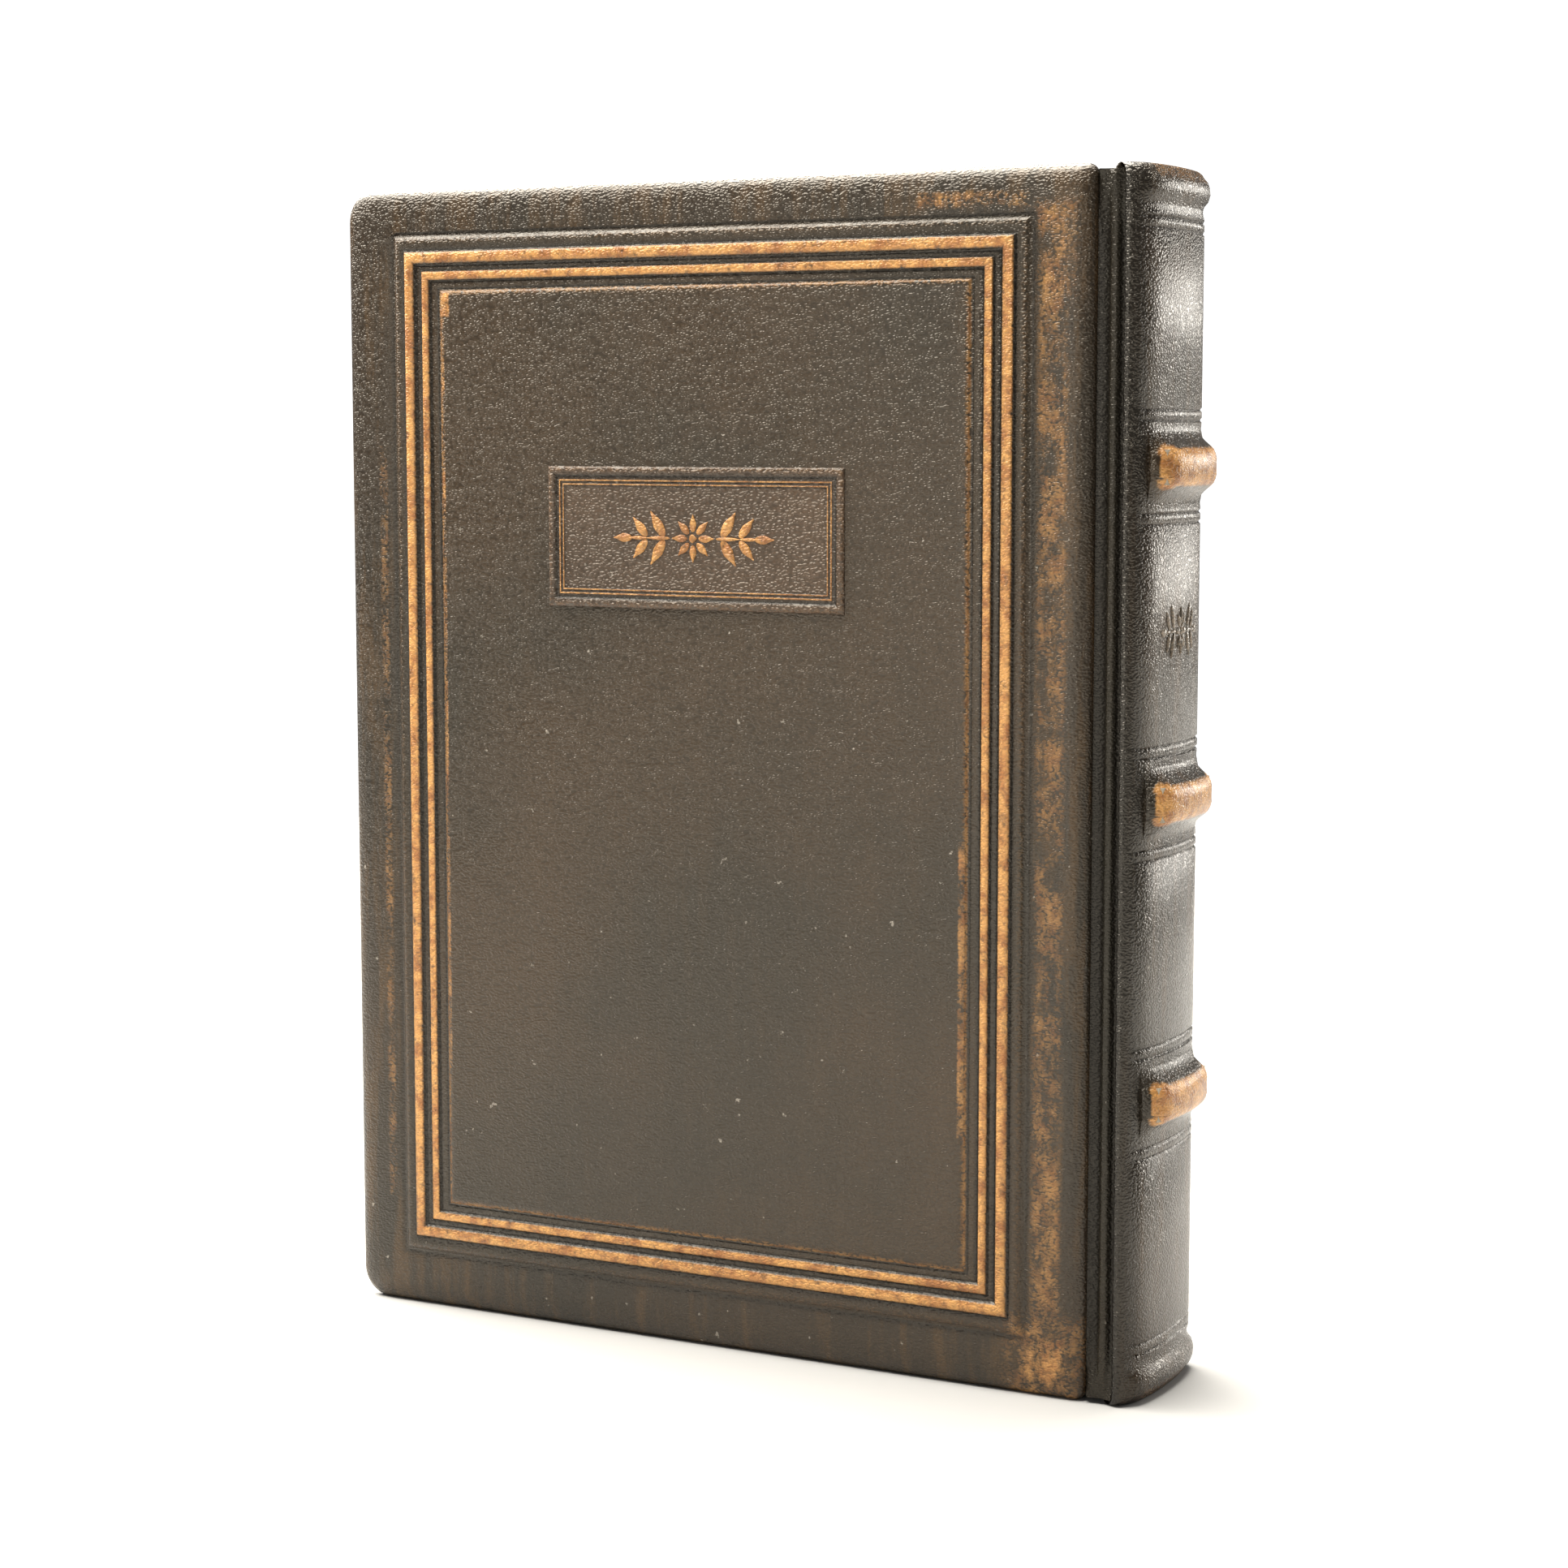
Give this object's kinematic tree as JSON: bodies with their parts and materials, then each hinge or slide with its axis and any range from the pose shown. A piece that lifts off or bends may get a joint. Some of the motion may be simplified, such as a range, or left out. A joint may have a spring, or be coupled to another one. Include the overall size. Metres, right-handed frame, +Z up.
{
  "type": "prayer book",
  "caption": "Small leather-bound prayer book with padded relief covers that open flat, fanning leaves, and a rounded spine with raised bands.",
  "frame": {"origin": "middle of the book's box, on the surface it stands on", "axes": "+Z up from tail to head, front cover faces -Y, rounded spine at +X"},
  "size_m": [0.1385, 0.0303, 0.178],
  "materials": {
    "cover_leather": "grained, semi-gloss, antiqued on raised lines",
    "label_leather": "grained, satin",
    "grey_board": "matt pressed board",
    "relief_card": "matt card",
    "endpaper": "matt laid paper",
    "book_paper": "matt uncoated paper",
    "mull_cloth": "open-weave cotton",
    "kraft_paper": "matt kraft paper",
    "band_silk": "silk-covered roll",
    "cap_cord": "twisted linen cord"
  },
  "bodies": {
    "text_block": {"front_endpaper_guard": "endpaper", "front_joint_leather": "cover_leather", "back_endpaper_guard": "endpaper", "back_joint_leather": "cover_leather", "signature_01": "book_paper", "signature_02": "book_paper", "signature_03": "book_paper", "signature_04": "book_paper", "signature_05": "book_paper", "signature_06": "book_paper", "signature_07": "book_paper", "signature_08": "book_paper", "signature_09": "book_paper", "signature_10": "book_paper", "spine_mull": "mull_cloth", "hollow_back_tube": "kraft_paper", "spine_card": "grey_board", "tail_band_core": "relief_card", "middle_band_core": "relief_card", "head_band_core": "relief_card", "spine_leather": "cover_leather", "headband": "band_silk", "tailband": "band_silk", "head_cap_cord": "cap_cord", "tail_cap_cord": "cap_cord"},
    "front_cover": {"front_board": "grey_board", "front_field_card": "relief_card", "front_panel_card": "relief_card", "front_cover_leather": "cover_leather", "front_mull_flap": "mull_cloth", "front_pastedown": "endpaper", "front_label": "label_leather"},
    "back_cover": {"back_board": "grey_board", "back_field_card": "relief_card", "back_panel_card": "relief_card", "back_cover_leather": "cover_leather", "back_mull_flap": "mull_cloth", "back_pastedown": "endpaper"},
    "front_flyleaf": {"front_flyleaf": "endpaper"},
    "front_leaves_1": {"front_leaves_1": "book_paper"},
    "front_leaves_2": {"front_leaves_2": "book_paper"},
    "front_leaves_3": {"front_leaves_3": "book_paper"},
    "back_flyleaf": {"back_flyleaf": "endpaper"},
    "back_leaves_1": {"back_leaves_1": "book_paper"},
    "back_leaves_2": {"back_leaves_2": "book_paper"},
    "back_leaves_3": {"back_leaves_3": "book_paper"}
  },
  "joints": [
    {"name": "front_cover_hinge", "type": "hinge", "parent": "text_block", "child": "front_cover", "pos_m": [0.06055, -0.0143, 0.089], "axis": [0, 0, 1], "range_deg": [0, 180], "deforming": ["front_joint_leather"]},
    {"name": "front_flyleaf_turn", "type": "hinge", "parent": "text_block", "child": "front_flyleaf", "pos_m": [0.0606, -0.0108, 0.089], "axis": [0, 0, 1], "range_deg": [0, 104.9]},
    {"name": "front_leaves_1_turn", "type": "hinge", "parent": "text_block", "child": "front_leaves_1", "pos_m": [0.0606, -0.0108, 0.089], "axis": [0, 0, 1], "range_deg": [0, 79.7]},
    {"name": "front_leaves_2_turn", "type": "hinge", "parent": "text_block", "child": "front_leaves_2", "pos_m": [0.0606, -0.0108, 0.089], "axis": [0, 0, 1], "range_deg": [0, 54.5]},
    {"name": "front_leaves_3_turn", "type": "hinge", "parent": "text_block", "child": "front_leaves_3", "pos_m": [0.0606, -0.0108, 0.089], "axis": [0, 0, 1], "range_deg": [0, 29.3]},
    {"name": "back_cover_hinge", "type": "hinge", "parent": "text_block", "child": "back_cover", "pos_m": [0.06055, 0.0143, 0.089], "axis": [0, 0, -1], "range_deg": [0, 180], "deforming": ["back_joint_leather"]},
    {"name": "back_flyleaf_turn", "type": "hinge", "parent": "text_block", "child": "back_flyleaf", "pos_m": [0.0606, 0.0108, 0.089], "axis": [0, 0, -1], "range_deg": [0, 104.9]},
    {"name": "back_leaves_1_turn", "type": "hinge", "parent": "text_block", "child": "back_leaves_1", "pos_m": [0.0606, 0.0108, 0.089], "axis": [0, 0, -1], "range_deg": [0, 79.7]},
    {"name": "back_leaves_2_turn", "type": "hinge", "parent": "text_block", "child": "back_leaves_2", "pos_m": [0.0606, 0.0108, 0.089], "axis": [0, 0, -1], "range_deg": [0, 54.5]},
    {"name": "back_leaves_3_turn", "type": "hinge", "parent": "text_block", "child": "back_leaves_3", "pos_m": [0.0606, 0.0108, 0.089], "axis": [0, 0, -1], "range_deg": [0, 29.3]}
  ],
  "couplings": [
    {"joint": "front_flyleaf_turn", "follows": "front_cover_hinge", "ratio": 0.58},
    {"joint": "front_leaves_1_turn", "follows": "front_cover_hinge", "ratio": 0.44},
    {"joint": "front_leaves_2_turn", "follows": "front_cover_hinge", "ratio": 0.3},
    {"joint": "front_leaves_3_turn", "follows": "front_cover_hinge", "ratio": 0.16},
    {"joint": "back_flyleaf_turn", "follows": "back_cover_hinge", "ratio": 0.58},
    {"joint": "back_leaves_1_turn", "follows": "back_cover_hinge", "ratio": 0.44},
    {"joint": "back_leaves_2_turn", "follows": "back_cover_hinge", "ratio": 0.3},
    {"joint": "back_leaves_3_turn", "follows": "back_cover_hinge", "ratio": 0.16}
  ]
}
